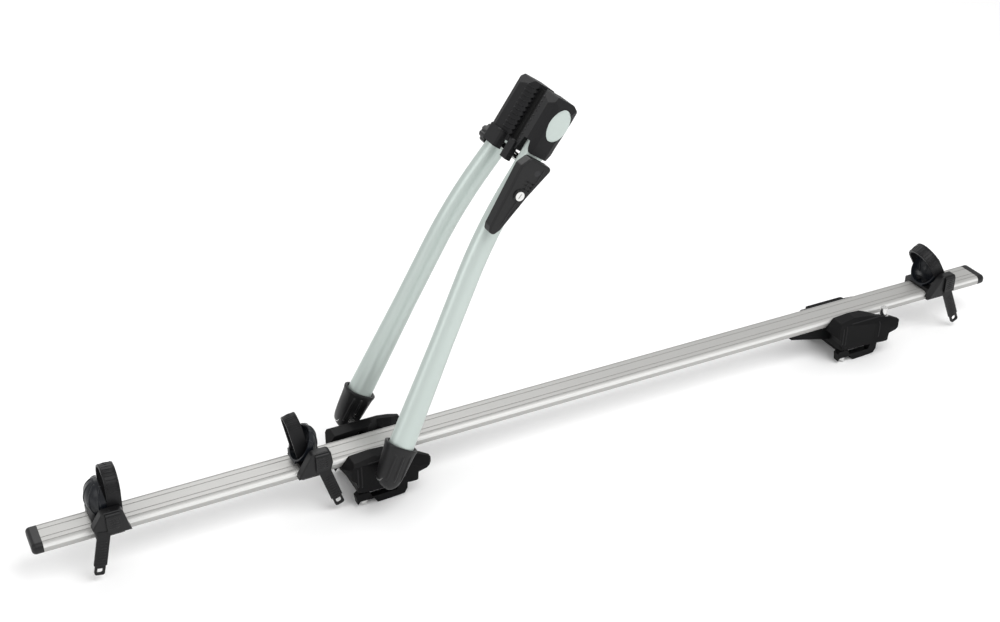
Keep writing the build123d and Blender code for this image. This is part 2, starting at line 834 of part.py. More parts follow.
def make_lever():
    with BuildPart() as lever:
        with BuildSketch(rod_plane_at(-lever_inner)) as plate:
            with BuildLine():
                Polyline(scaled(lever_shares, lever_width, lever_length), close=True)
            make_face()
            fillet(plate.vertices(), lever_corner)
        extrude(amount=lever_thickness)
        fillet(lever.faces().sort_by(Axis.Y)[0].edges(), lever_round)
        with BuildSketch(rod_plane_at(-lever_inner)):
            Circle(bush_radius + running)
        extrude(amount=bush_end + sliding - lever_inner, mode=Mode.SUBTRACT)
        with BuildSketch(rod_plane_at(-lever_outer)):
            Circle(lever_screw_shank)
        extrude(amount=-lever_screw_height - lever_screw_length, mode=Mode.SUBTRACT)
        with BuildSketch(rod_plane_at(-lever_outer)):
            Circle(lever_screw_radius)
        extrude(amount=-lever_screw_height, mode=Mode.SUBTRACT)
        ribs = [(-lever_rib_width, -lever_rib_start - row * lever_rib_pitch)
                for row in range(lever_rib_count)]
        with BuildSketch(rod_plane_at(-lever_outer)):
            with Locations(ribs):
                Rectangle(lever_rib_length, lever_rib_width)
        extrude(amount=-lever_rib_depth, mode=Mode.SUBTRACT)
        with BuildSketch(rod_plane_at(-lever_outer)):
            with Locations((-lock_u, -lock_v)):
                Circle(lock_housing_radius)
        extrude(amount=-lock_housing_depth, mode=Mode.SUBTRACT)
    return lever


def make_lever_screw():
    with BuildPart() as screw:
        with BuildSketch(rod_plane_at(-lever_outer)):
            Circle(lever_screw_radius)
        extrude(amount=-lever_screw_height)
        with BuildSketch(rod_plane_at(-lever_outer + lever_screw_height)):
            Circle(lever_screw_shank)
        extrude(amount=-lever_screw_length)
    return screw


def make_lock_housing():
    depth = lock_housing_depth + lock_housing_stand
    with BuildPart() as housing:
        with BuildSketch(rod_plane_at(-lever_outer + lock_housing_depth)):
            with Locations((-lock_u, -lock_v)):
                Circle(lock_housing_radius)
        extrude(amount=depth)
        with BuildSketch(rod_plane_at(-lever_outer - lock_housing_stand)):
            with Locations((-lock_u, -lock_v)):
                Circle(lock_radius + running)
        extrude(amount=lock_floor - depth, mode=Mode.SUBTRACT)
    return housing


def make_lock_barrel():
    floor = lever_outer - lock_housing_depth + lock_floor + sliding
    face = lever_outer + lock_stand
    with BuildPart() as barrel:
        with BuildSketch(rod_plane_at(-floor)):
            with Locations((-lock_u, -lock_v)):
                Circle(lock_radius)
        extrude(amount=face - floor)
        with BuildSketch(rod_plane_at(-face)):
            with Locations((-lock_u, -lock_v)):
                Rectangle(key_slot_width, key_slot_length)
        extrude(amount=-key_slot_depth, mode=Mode.SUBTRACT)
    return barrel


def make_knob():
    with BuildPart() as knob:
        with BuildSketch(rod_plane_at(knob_start, outward=1)):
            Circle(knob_radius)
            with PolarLocations(knob_radius + knob_scallop_radius / 2, knob_lobes):
                Circle(knob_scallop_radius, mode=Mode.SUBTRACT)
        extrude(amount=knob_length)
        fillet(knob.faces().sort_by(Axis.Y)[-1].edges(), knob_round)
        with BuildSketch(rod_plane_at(knob_start, outward=1)):
            Circle(rod_radius + running)
        extrude(amount=rod_far_end + sliding - knob_start, mode=Mode.SUBTRACT)
    return knob


# Wheel holders


def make_saddle(place, facing, seat, strap):
    outer = rail_half + saddle_side
    with BuildPart() as saddle:
        with BuildSketch(Plane.YZ.offset(place)) as section:
            with Locations((0, (saddle_top + saddle_bottom) / 2)):
                Rectangle(2 * outer, saddle_top - saddle_bottom)
            fillet(section.vertices().group_by(Axis.Y)[-1], saddle_round)
            with Locations((0, rail_middle)):
                RectangleRounded(rail_width + 2 * sliding, rail_height + 2 * sliding,
                                 rail_side_radius + sliding, mode=Mode.SUBTRACT)
        extrude(amount=facing * saddle_front_length)
        extrude(section.sketch, amount=-facing * saddle_half_length)
        add(strap.part, mode=Mode.SUBTRACT)
        with BuildSketch(Plane.XY.offset(saddle_top)):
            with Locations(cup_screw_places(seat, facing)):
                Circle(cup_screw_radius)
        extrude(amount=cup_flange_height - cup_screw_length, mode=Mode.SUBTRACT)
    return saddle


def cup_screw_places(place, facing):
    back = place - facing * (cup_neck_back - cup_flange_length / 2)
    return [(back, -cup_screw_lane), (back, cup_screw_lane)]


def make_cup(place, facing, tilt, strap):
    """A dish that leans away from the wheel; it is made facing +X and mirrored if need be."""
    toward, along = leaning(-tilt)
    sagitta = cup_bowl_radius - sqrt(cup_bowl_radius**2 - (cup_half_height + cup_rim)**2)
    middle = Vector(place, 0, saddle_top) + along * cup_half_height
    centre = middle + toward * (cup_bowl_radius - sagitta)
    neck_length = cup_neck_back + cup_neck_front
    neck_middle = place + (cup_neck_front - cup_neck_back) / 2
    with BuildPart() as cup:
        with BuildSketch(Plane(middle, x_dir=(0, 1, 0), z_dir=-toward)):
            Ellipse(cup_half_width, cup_half_height)
        extrude(amount=sagitta + overrun)
        with Locations(centre):
            Sphere(cup_bowl_radius, mode=Mode.INTERSECT)
        with BuildSketch(Plane.XY.offset(saddle_top)):
            with Locations((neck_middle, 0)):
                Rectangle(neck_length, 2 * cup_neck_half_width)
        extrude(amount=cup_flange_height)
        with BuildSketch(Plane.XY.offset(saddle_top)):
            with Locations((neck_middle + cup_neck_front, 0)):
                Rectangle(cup_neck_back, cup_neck_half_width)
        extrude(amount=cup_neck_height)
        with Locations(centre):
            Sphere(cup_bowl_radius - cup_wall, mode=Mode.SUBTRACT)
        with BuildSketch(Plane(middle, x_dir=(0, 1, 0), z_dir=toward)):
            Rectangle(4 * cup_half_width, 4 * cup_half_height)
        extrude(amount=cup_bowl_radius, mode=Mode.SUBTRACT)
        with BuildSketch(Plane.XY.offset(saddle_top)):
            with Locations((place, 0)):
                Rectangle(4 * cup_half_height, 4 * cup_half_width)
        extrude(amount=-cup_half_height, mode=Mode.SUBTRACT)
        with BuildSketch(Plane.XY.offset(saddle_top)):
            with Locations(cup_screw_places(place, 1)):
                Circle(cup_screw_radius)
        extrude(amount=cup_flange_height, mode=Mode.SUBTRACT)
        with BuildSketch(Plane.XY.offset(saddle_top + cup_flange_height)):
            with Locations(cup_screw_places(place, 1)):
                Circle(cup_screw_head_radius + running)
        extrude(amount=cup_screw_head_height + running, mode=Mode.SUBTRACT)
        if facing < 0:
            mirror(about=Plane.YZ.offset(place), mode=Mode.REPLACE)
        add(strap.part, mode=Mode.SUBTRACT)
    return cup


def make_cup_screws(place, facing):
    with BuildPart() as screws:
        with BuildSketch(Plane.XY.offset(saddle_top + cup_flange_height)):
            with Locations(cup_screw_places(place, facing)):
                Circle(cup_screw_radius)
        extrude(amount=-cup_screw_length)
        with BuildSketch(Plane.XY.offset(saddle_top + cup_flange_height)):
            with Locations(cup_screw_places(place, facing)):
                Circle(cup_screw_head_radius)
        extrude(amount=cup_screw_head_height)
    return screws


def make_strap(place, facing, half_span, base, top, lean, tail_lean):
    """The arch over the tyre, the run beside the rail and the hanging tail."""
    tilt = radians(lean)
    foot = Vector(place + facing * base, 0, strap_root)
    arch_plane = Plane(foot, x_dir=(0, 1, 0), z_dir=(cos(tilt), 0, -facing * sin(tilt)))
    rise = (top - strap_root) / cos(tilt)
    inner = half_span - strap_thickness
    tail_tilt = radians(tail_lean)
    tail_x = place - facing * tail_place
    tail_plane = Plane((tail_x, -tail_lane, strap_root), x_dir=(cos(tail_tilt), 0,
                       -facing * sin(tail_tilt)), z_dir=(0, -1, 0))
    tail_drop = (strap_root - tail_end) / cos(tail_tilt)
    with BuildPart() as strap:
        with BuildSketch(arch_plane) as arch:
            with Locations((0, (rise - half_span) / 2)):
                Rectangle(2 * half_span, rise - half_span)
            with Locations((0, rise - half_span)):
                Circle(half_span)
                Circle(inner, mode=Mode.SUBTRACT)
            with Locations((0, (rise - half_span) / 2)):
                Rectangle(2 * inner, rise - half_span, mode=Mode.SUBTRACT)
        extrude(amount=strap_width / 2, both=True)
        # The run inside the saddle and the buckle, from the near leg to the tail
        reach = facing * base + facing * tail_place
        with BuildSketch(Plane.XY.offset(strap_root)):
            with Locations((place + facing * (base - tail_place) / 2,
                            -half_span + strap_thickness / 2)):
                Rectangle(abs(reach) + tail_width, strap_thickness)
            with Locations((tail_x, -(half_span + tail_lane) / 2)):
                Rectangle(tail_width, tail_lane + strap_thickness - half_span
                          + strap_thickness)
        extrude(amount=strap_thickness)
        with BuildSketch(tail_plane) as tail:
            with Locations((0, (strap_thickness + tail_neck_length - tail_drop) / 2)):
                Rectangle(tail_width, strap_thickness + tail_drop - tail_neck_length)
            with Locations((0, tail_neck_length - tail_drop)):
                RectangleRounded(tail_neck, 2 * tail_neck_length, tail_neck / 4)
        extrude(amount=strap_thickness)
        with BuildSketch(tail_plane):
            with Locations((0, eyelet_edge + eyelet_length / 2 - tail_drop)):
                RectangleRounded(eyelet_width, eyelet_length, eyelet_width / 3)
        extrude(amount=strap_thickness, mode=Mode.SUBTRACT)
    return strap


def buckle_axis(place, facing, lead):
    """The middle of the release pin."""
    return Vector(place + facing * (lead - buckle_head / 2), -buckle_outer,
                  buckle_top - release_pin_drop)


def make_buckle(place, facing, lead, strap):
    """A block that slopes up from the saddle's cheek; lead is where its head ends."""
    inner = rail_half + saddle_side
    pin = buckle_axis(place, facing, lead)
    low = [(place + facing * u * saddle_half_length, buckle_bottom + v * buckle_shoulder)
           for u, v in buckle_shares]
    head = [(place + facing * (lead - buckle_head), buckle_top), (place + facing * lead, buckle_top)]
    with BuildPart() as buckle:
        with BuildSketch(Plane.XZ.offset(inner)) as outline:
            with BuildLine():
                Polyline(low + head, close=True)
            make_face()
            fillet(outline.vertices().group_by(Axis.Y)[-1], buckle_crown)
        extrude(amount=buckle_outer - inner)
        fillet(buckle.faces().sort_by(Axis.Y)[0].edges(), buckle_round)
        # Room for the release's knuckle, with the pin left across it
        with BuildSketch(Plane.YZ.offset(pin.X)):
            with Locations((pin.Y, pin.Z)):
                Circle(release_knuckle + release_gap)
        extrude(amount=release_half_width + sliding, both=True, mode=Mode.SUBTRACT)
        with BuildSketch(Plane.YZ.offset(pin.X)):
            with Locations((pin.Y + release_gap, pin.Z)):
                Circle(release_pin_radius)
        extrude(amount=release_half_width + sliding, both=True)
        add(strap.part, mode=Mode.SUBTRACT)
    return buckle


def make_release(place, facing, lead):
    pin = buckle_axis(place, facing, lead)
    face = -buckle_outer - release_gap
    with BuildPart() as release:
        with BuildSketch(Plane.YZ.offset(pin.X)):
            with Locations((pin.Y + release_gap, pin.Z)):
                Circle(release_knuckle)
            with Locations((face - release_thickness / 2, pin.Z - release_length / 2)):
                Rectangle(release_thickness, release_length)
            with Locations((pin.Y + release_gap, pin.Z)):
                Circle(release_pin_radius + running, mode=Mode.SUBTRACT)
        extrude(amount=release_half_width, both=True)
    return release


# Build and save every piece

save(make_rail(), "rail")
save(make_cap(-rail_lead, -1), "front_end_cap")
save(make_cap(rail_end, 1), "rear_end_cap")

for foot in ("front", "rear"):
    save(make_foot_base(foot), f"{foot}_foot_base")
    save(make_sole_pad(foot), f"{foot}_sole_pad")
    save(make_cover(foot, -1), f"{foot}_near_cover")
    save(make_cover(foot, 1), f"{foot}_far_cover")
    save(make_rail_bolts(foot), f"{foot}_rail_bolts")
    save(make_t_nuts(foot), f"{foot}_t_nuts")
    save(make_clamp_yoke(foot), f"{foot}_clamp_yoke")
    save(make_clamp_screws(foot), f"{foot}_clamp_screws")
save(make_top_bolt(), "rear_top_bolt")

for side, label in ((-1, "near"), (1, "far")):
    arm_body = make_arm_body(side, 0)
    save(make_arm_tube(side, arm_body), f"{label}_arm_tube")
    save(make_boot(side, arm_body), f"{label}_boot")
    save(make_boot_screw(side), f"{label}_boot_screw")
    save(make_trunnion(side), f"{label}_trunnion")
    save(make_pivot_pin(side), f"{label}_pivot_pin")
    save(make_jaw(side, arm_body), f"{label}_jaw")
    save(make_jaw_pad(side), f"{label}_pad")
    if side < 0:
        save(make_lever_bush(arm_body), "lever_bush")

save(make_cross_rod(), "cross_rod")
save(make_lever(), "clamp_lever")
save(make_lever_screw(), "lever_screw")
save(make_lock_housing(), "lock_housing")
save(make_lock_barrel(), "lock_barrel")
save(make_knob(), "adjuster_knob")

for name, place, facing, span, base, top, lean, tail_lean, lead, cup_lead, cup_tilt in zip(
        holder_names, holder_places, holder_facing, strap_half_spans, strap_base_places,
        strap_tops, strap_leans, tail_leans, buckle_leads, cup_leads, cup_tilts):
    seat = place + facing * cup_lead
    strap = make_strap(place, facing, span, base, top, lean, tail_lean)
    save(strap, f"{name}_strap")
    save(make_saddle(place, facing, seat, strap), f"{name}_saddle")
    save(make_cup(seat, facing, cup_tilt, strap), f"{name}_wheel_cup")
    save(make_cup_screws(seat, facing), f"{name}_cup_screws")
    save(make_buckle(place, facing, lead, strap), f"{name}_buckle")
    save(make_release(place, facing, lead), f"{name}_strap_release")
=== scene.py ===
# Roof mounted bike carrier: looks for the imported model. Lengths are in metres, in the CAD's frame.
from math import cos, pi, radians, sin, tan

import bpy
import numpy as np
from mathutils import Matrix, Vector
from mathutils.bvhtree import BVHTree


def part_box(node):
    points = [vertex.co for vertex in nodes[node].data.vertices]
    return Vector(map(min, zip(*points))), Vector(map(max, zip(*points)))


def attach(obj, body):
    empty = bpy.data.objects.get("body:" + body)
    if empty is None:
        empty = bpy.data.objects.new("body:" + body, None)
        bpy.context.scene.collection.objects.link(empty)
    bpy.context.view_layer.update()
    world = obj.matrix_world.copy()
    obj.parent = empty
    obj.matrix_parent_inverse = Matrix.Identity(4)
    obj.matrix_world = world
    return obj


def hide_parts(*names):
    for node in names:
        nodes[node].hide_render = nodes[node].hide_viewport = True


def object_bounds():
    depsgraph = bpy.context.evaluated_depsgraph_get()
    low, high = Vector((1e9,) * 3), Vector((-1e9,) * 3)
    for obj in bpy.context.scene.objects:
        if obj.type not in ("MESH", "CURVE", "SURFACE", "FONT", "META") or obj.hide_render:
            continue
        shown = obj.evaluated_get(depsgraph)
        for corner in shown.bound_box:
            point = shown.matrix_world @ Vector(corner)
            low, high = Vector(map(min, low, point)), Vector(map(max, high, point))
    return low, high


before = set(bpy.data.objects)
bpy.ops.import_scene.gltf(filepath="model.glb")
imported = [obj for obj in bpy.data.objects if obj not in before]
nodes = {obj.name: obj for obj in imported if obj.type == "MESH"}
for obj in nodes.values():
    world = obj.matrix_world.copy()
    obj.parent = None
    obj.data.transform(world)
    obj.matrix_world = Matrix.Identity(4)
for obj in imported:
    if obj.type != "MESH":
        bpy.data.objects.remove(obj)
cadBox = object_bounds()
mm = 0.001

# Camera at the photograph's viewing angle
cameraSettings = {
    "place": (-0.56945, -1.52855, 1.20753),
    "elevation": 30.712,
    "turn": -26.615,
    "lens": 54.0,
    "sensor": 36.0,
}

floorSettings = {"size": 14.0, "tint": (0.93, 0.93, 0.93), "rough": 0.9, "gap": 0.0002}

lightSettings = [
    {"name": "key", "place": (0.9, -1.4, 2.6), "aim": (0.25, 0, 0.1), "size": 2.2, "power": 48.0},
    {"name": "fill", "place": (-2.4, -1.2, 1.6), "aim": (0.2, 0, 0.1), "size": 2.0, "power": 16.0},
    {"name": "back", "place": (0.4, 2.4, 2.0), "aim": (0.2, 0, 0.2), "size": 2.4, "power": 26.0},
]
worldSettings = {"tint": (1.0, 1.0, 1.0), "strength": 0.72}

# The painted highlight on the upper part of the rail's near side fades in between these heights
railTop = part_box("rail")[1][2]
paintedHighlightHeights = (railTop - 6.5 * mm, railTop - 5.0 * mm)

# Numbers that all finishes share
finishSettings = {"gloss": 0.5, "grainDetail": 3.0, "patchDetail": 4.0, "bumpHeight": mm / 4}

# Finishes: each one is a small set of numbers that the same node tree reads
finishes = {
    "anodised": {
        "tint": (0.415, 0.412, 0.400), "metal": 0.45, "rough": 0.46, "spread": 0.06,
        "scale": (6.0, 900.0, 900.0), "grain": 0.05, "patch": 3.0, "patchTint": 0.06,
        # Painted highlight: a pale band on the rail's upper near side stands in for the light its
        # rounded edge catches
        "paintedHighlight": {
            "tint": (0.76, 0.76, 0.745), "across": (-0.0205, -0.0222), "rise": paintedHighlightHeights,
        },
    },
    "armMetal": {
        "tint": (0.500, 0.562, 0.535), "metal": 0.45, "rough": 0.38, "spread": 0.05,
        "scale": (160.0, 160.0, 160.0), "grain": 0.03, "patch": 5.0, "patchTint": 0.06,
    },
    "plastic": {
        "tint": (0.0045, 0.0045, 0.0050), "metal": 0.0, "gloss": 0.34,
        "rough": 0.42, "spread": 0.10,
        "scale": (1400.0, 1400.0, 1400.0), "grain": 0.10, "patch": 24.0, "patchTint": 0.25,
    },
    "grained": {
        "tint": (0.0075, 0.0075, 0.0082), "metal": 0.0, "gloss": 0.22,
        "rough": 0.55, "spread": 0.10,
        "scale": (1900.0, 1900.0, 1900.0), "grain": 0.30, "patch": 30.0, "patchTint": 0.25,
    },
    "cast": {
        "tint": (0.0045, 0.0045, 0.0048), "metal": 0.0, "gloss": 0.09,
        "rough": 0.48, "spread": 0.14,
        "scale": (900.0, 900.0, 900.0), "grain": 0.22, "patch": 18.0, "patchTint": 0.3,
    },
    "bluish": {
        "tint": (0.0055, 0.0068, 0.0095), "metal": 0.0, "gloss": 0.32,
        "rough": 0.30, "spread": 0.08,
        "scale": (1200.0, 1200.0, 1200.0), "grain": 0.06, "patch": 20.0, "patchTint": 0.25,
    },
    "rubber": {
        "tint": (0.0050, 0.0050, 0.0050), "metal": 0.0, "gloss": 0.17,
        "rough": 0.66, "spread": 0.10,
        "scale": (1500.0, 1500.0, 1500.0), "grain": 0.18, "patch": 16.0, "patchTint": 0.35,
    },
    "strap": {
        "tint": (0.0050, 0.0050, 0.0056), "metal": 0.0, "gloss": 0.26,
        "rough": 0.46, "spread": 0.10,
        "scale": (1300.0, 1300.0, 1300.0), "grain": 0.10, "patch": 22.0, "patchTint": 0.3,
    },
    "zinc": {
        "tint": (0.70, 0.70, 0.69), "metal": 1.0, "rough": 0.26, "spread": 0.10,
        "scale": (700.0, 700.0, 700.0), "grain": 0.04, "patch": 60.0, "patchTint": 0.12,
    },
    "blackOxide": {
        "tint": (0.03, 0.03, 0.032), "metal": 0.6, "rough": 0.40, "spread": 0.12,
        "scale": (900.0, 900.0, 900.0), "grain": 0.08, "patch": 50.0, "patchTint": 0.3,
    },
}


def addPaintedHighlight(tree, coords, tint, s):
    # A painted highlight: a bright band along one side, laid over the tint
    split = tree.nodes.new("ShaderNodeSeparateXYZ")
    tree.links.new(coords.outputs["Object"], split.inputs["Vector"])
    ramps = []
    for axis, limits in (("Y", s["across"]), ("Z", s["rise"])):
        ramp = tree.nodes.new("ShaderNodeMapRange")
        ramp.inputs["From Min"].default_value = limits[0]
        ramp.inputs["From Max"].default_value = limits[1]
        tree.links.new(split.outputs[axis], ramp.inputs["Value"])
        ramps.append(ramp.outputs["Result"])
    both = tree.nodes.new("ShaderNodeMath")
    both.operation = "MULTIPLY"
    tree.links.new(ramps[0], both.inputs[0])
    tree.links.new(ramps[1], both.inputs[1])
    mix = tree.nodes.new("ShaderNodeMix")
    mix.data_type = "RGBA"
    mix.inputs["B"].default_value = s["tint"] + (1,)
    tree.links.new(both.outputs["Value"], mix.inputs["Factor"])
    tree.links.new(tint, mix.inputs["A"])
    return mix.outputs["Result"]


def makeFinish(name):
    s, shared = finishes[name], finishSettings
    mat = bpy.data.materials.new(name)
    mat.use_nodes = True
    tree = mat.node_tree
    shader = tree.nodes["Principled BSDF"]
    shader.inputs["Metallic"].default_value = s["metal"]
    shader.inputs["Specular IOR Level"].default_value = s.get("gloss", shared["gloss"])
    coords = tree.nodes.new("ShaderNodeTexCoord")
    mapping = tree.nodes.new("ShaderNodeMapping")
    mapping.inputs["Scale"].default_value = s["scale"]
    tree.links.new(coords.outputs["Object"], mapping.inputs["Vector"])
    grain = tree.nodes.new("ShaderNodeTexNoise")
    grain.inputs["Scale"].default_value = 1.0
    grain.inputs["Detail"].default_value = shared["grainDetail"]
    tree.links.new(mapping.outputs["Vector"], grain.inputs["Vector"])
    patch = tree.nodes.new("ShaderNodeTexNoise")
    patch.inputs["Scale"].default_value = s["patch"]
    patch.inputs["Detail"].default_value = shared["patchDetail"]
    tree.links.new(coords.outputs["Object"], patch.inputs["Vector"])
    tint = tree.nodes.new("ShaderNodeMix")
    tint.data_type = "RGBA"
    low, high = 1 - s["patchTint"], 1 + s["patchTint"]
    tint.inputs["A"].default_value = tuple(c * low for c in s["tint"]) + (1,)
    tint.inputs["B"].default_value = tuple(min(c * high, 1) for c in s["tint"]) + (1,)
    tree.links.new(patch.outputs["Fac"], tint.inputs["Factor"])
    colour = tint.outputs["Result"]
    # Lay the painted highlight over the tint where the finish has one
    if "paintedHighlight" in s:
        colour = addPaintedHighlight(tree, coords, colour, s["paintedHighlight"])
    tree.links.new(colour, shader.inputs["Base Color"])
    rough = tree.nodes.new("ShaderNodeMapRange")
    rough.inputs["To Min"].default_value = s["rough"] - s["spread"]
    rough.inputs["To Max"].default_value = s["rough"] + s["spread"]
    tree.links.new(grain.outputs["Fac"], rough.inputs["Value"])
    tree.links.new(rough.outputs["Result"], shader.inputs["Roughness"])
    bump = tree.nodes.new("ShaderNodeBump")
    bump.inputs["Strength"].default_value = s["grain"]
    bump.inputs["Distance"].default_value = shared["bumpHeight"]
    tree.links.new(grain.outputs["Fac"], bump.inputs["Height"])
    tree.links.new(bump.outputs["Normal"], shader.inputs["Normal"])
    return mat


materials = {name: makeFinish(name) for name in finishes}
print("finishes made:", len(materials))

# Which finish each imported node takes; the first matching end of a name counts
nodeFinishes = [
    ("rail", "anodised"), ("arm_tube", "armMetal"), ("end_cap", "plastic"),
    ("foot_base", "cast"), ("sole_pad", "rubber"), ("cover", "cast"),
    ("rail_bolts", "zinc"), ("t_nuts", "zinc"), ("pivot_pin", "zinc"),
    ("clamp_yoke", "cast"), ("clamp_screws", "zinc"), ("top_bolt", "zinc"),
    ("trunnion", "zinc"), ("boot_screw", "zinc"), ("boot", "plastic"), ("jaw", "grained"),
    ("pad", "rubber"), ("lever_bush", "zinc"), ("cross_rod", "zinc"),
    ("clamp_lever", "plastic"), ("lever_screw", "blackOxide"), ("lock_housing", "plastic"),
    ("lock_barrel", "zinc"), ("adjuster_knob", "plastic"), ("saddle", "plastic"),
    ("wheel_cup", "bluish"), ("cup_screws", "blackOxide"), ("strap_release", "plastic"),
    ("strap", "strap"), ("buckle", "plastic"),
]

edgeSettings = {
    "width": 0.5 * mm,
    "segments": 2,
    "angle": 35,
    "without": ("rail", "arm_tube", "cross_rod", "pivot_pin", "strap"),
}


def dressNodes():
    for name, obj in nodes.items():
        finish = next(f for end, f in nodeFinishes if name.endswith(end))
        obj.data.materials.clear()
        obj.data.materials.append(materials[finish])
        for polygon in obj.data.polygons:
            polygon.material_index = 0


dressNodes()


def addEdges():
    s = edgeSettings
    for name, obj in nodes.items():
        if name.endswith(s["without"]):
            continue
        bevel = obj.modifiers.new("softEdges", "BEVEL")
        bevel.width = s["width"]
        bevel.segments = s["segments"]
        bevel.limit_method = "ANGLE"
        bevel.angle_limit = radians(s["angle"])
        bevel.harden_normals = False


addEdges()
print("nodes dressed:", len(nodes))

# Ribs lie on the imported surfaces, found by casting rays at them. Each "rib" is a width and a
# height, and each "back" or "front" says where its rays start, clear of the surface.
ribSettings = {
    "sections": 7, "sink": 0.0004, "shoulder": 0.62, "leastPoints": 3, "fadeSteps": 2,
    "fadeStart": 0.15,
}
castSettings = {"steps": 14, "reach": 0.2}
sides = (("near", -1), ("far", 1))
towardFar = Vector((0, 1, 0))

# The outline's rows are a rise and a half depth in millimetres, and a share of the half width
bootSettings = {
    "lean": 26.9, "pivot": (0, 0.0745, 0.038), "height": 44,
    "outline": ((-17.0, 0.0, 0.55), (-16.6, 3.6, 0.62), (-15.2, 7.6, 0.74), (-12.0, 12.0, 0.86),
                (-8.0, 15.0, 0.94), (0.0, 17.0, 0.98), (9.0, 18.6, 0.97), (18.0, 19.8, 0.96),
                (28.0, 20.8, 0.97), (37.0, 21.9, 0.99), (40.5, 23.0, 1.0), (43.4, 23.3, 1.0),
                (44.0, 22.6, 0.97), (43.7, 19.6, 0.84), (38.0, 18.6, 0.80)),
    "halfWidth": 0.0158, "slant": 0.1, "power": 2.6, "around": 72, "converge": 0.0975,
    "lanes": (-0.011, 0, 0.011), "rise": (-0.002, 0.036), "back": 0.05, "rib": (0.0036, 0.0011),
}
jawSettings = {
    "lean": 35.0, "corner": (0.219, 0, 0.428), "count": 11, "pitch": 0.0065, "firstRow": 0.9,
    "lanes": (0.013, 0.024), "back": 0.08, "steps": 8, "rib": (0.0026, 0.0010),
}
leverSettings = {
    "lean": 38.0, "hinge": (0.211, -0.0645, 0.420),
    "lines": (((-0.003, -0.010), (-0.0035, -0.078)), ((0.006, 0.008), (0.0055, -0.024)),
              ((0.004, -0.044), (-0.0005, -0.066))),
    "back": 0.05, "steps": 24, "rib": (0.0022, 0.0007),
}
holderSettings = {
    "front": {"place": -0.348, "facing": 1, "base": 0.007, "lean": 2.0, "top": 0.115,
              "span": 0.026, "tailLean": 13.0, "bowl": (0.0034, 0.0758)},
    "middle": {"place": -0.087, "facing": -1, "base": 0.004, "lean": 11.0, "top": 0.116,
               "span": 0.014, "tailLean": 17.0, "bowl": (0.0107, 0.0741)},
    "rear": {"place": 0.940, "facing": -1, "base": -0.019, "lean": 31.0, "top": 0.110,
             "span": 0.026, "tailLean": 24.0, "bowl": (0.0087, 0.0741)},
}
cupSettings = {
    "spins": (-58, -29, 0, 29, 58), "lifts": (-38, 58, 26), "reach": 0.04, "back": 0.05,
    "leastRadius": 0.025, "innerRib": (0.0030, 0.0011), "outerRib": (0.0030, 0.0009),
}
strapSettings = {
    "root": 0.046, "back": 0.06, "reach": 0.06, "steps": 6,
    "turns": (-80, 80, 15), "halfWidth": 0.0062, "rib": (0.0018, 0.0007),
    "edgeLanes": (-0.0072, 0.0072), "edgeTurns": (-88, 88, 40), "edgeRib": (0.0014, 0.0006),
    "tailInset": 0.012, "tailFront": -0.09, "drops": (0.012, 0.050, 0.0042),
    "tailHalfWidth": 0.0052,
}
releaseSettings = {
    "drops": (0.25, 0.8, 5), "halfWidth": 0.0062, "front": -0.09, "steps": 6,
    "rib": (0.0022, 0.0008),
}
coverSettings = {
    "feet": (("front", "root", 0.0), ("rear", "rear_foot", 0.781)), "front": -0.12,
    "posts": ((-0.034, 0.012, 0.040), (-0.029, 0.010, 0.043), (0.030, 0.012, 0.038)),
    "postRib": (0.0022, 0.0009), "brow": (-0.02, 0.04), "browHeight": 0.0445,
    "browSteps": 20, "browRib": (0.0018, 0.0006),
}


def surfaceOf(name):
    obj = nodes[name]
    points = [obj.matrix_world @ v.co for v in obj.data.vertices]
    return BVHTree.FromPolygons(points, [tuple(q.vertices) for q in obj.data.polygons])


def castLine(tree, ends, way, steps=castSettings["steps"]):
    path = []
    for share in np.linspace(0, 1, steps):
        start = ends[0].lerp(ends[1], share)
        place, normal = tree.ray_cast(start, way, castSettings["reach"])[:2]
        if place is not None:
            path.append((place, normal if normal.dot(way) < 0 else -normal))
    return path


def addRib(grid, faces, path, width, height):
    s = ribSettings
    if len(path) < s["leastPoints"]:
        return
    count, last = s["sections"], len(path) - 1
    base = len(grid)
    for i, (place, normal) in enumerate(path):
        ahead = path[min(i + 1, last)][0] - path[max(i - 1, 0)][0]
        across = ahead.normalized().cross(normal)
        fade = min(1.0, min(i, last - i) / s["fadeSteps"] + s["fadeStart"])
        for k in range(count):
            turn = pi * k / (count - 1)
            lift = height * fade * sin(turn) ** s["shoulder"] - s["sink"] * (1 - sin(turn))
            grid.append(place + across * (-cos(turn) * width / 2) + normal * lift)
    for i in range(last):
        for k in range(count - 1):
            a = base + i * count + k
            faces.append((a, a + 1, a + count + 1, a + count))
    faces.append(tuple(base + k for k in range(count))[::-1])
    faces.append(tuple(base + last * count + k for k in range(count)))


def makePiece(name, body, finish, grid, faces):
    mesh = bpy.data.meshes.new(name)
    mesh.from_pydata([tuple(v) for v in grid], [], faces)
    mesh.materials.append(materials[finish])
    mesh.polygons.foreach_set("use_smooth", [True] * len(mesh.polygons))
    mesh.update()
    obj = bpy.data.objects.new(name, mesh)
    bpy.context.scene.collection.objects.link(obj)
    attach(obj, body)
    return obj


def makeRibs(name, body, finish, lines):
    grid, faces = [], []
    for path, (width, height) in lines:
        addRib(grid, faces, path, width, height)
    makePiece(name, body, finish, grid, faces)


def leaning(degrees):
    turn = radians(degrees)
    return Vector((cos(turn), 0, -sin(turn))), Vector((sin(turn), 0, cos(turn)))


def rounded(value, power):
    return abs(value) ** (2 / power) * (1 if value > 0 else -1)


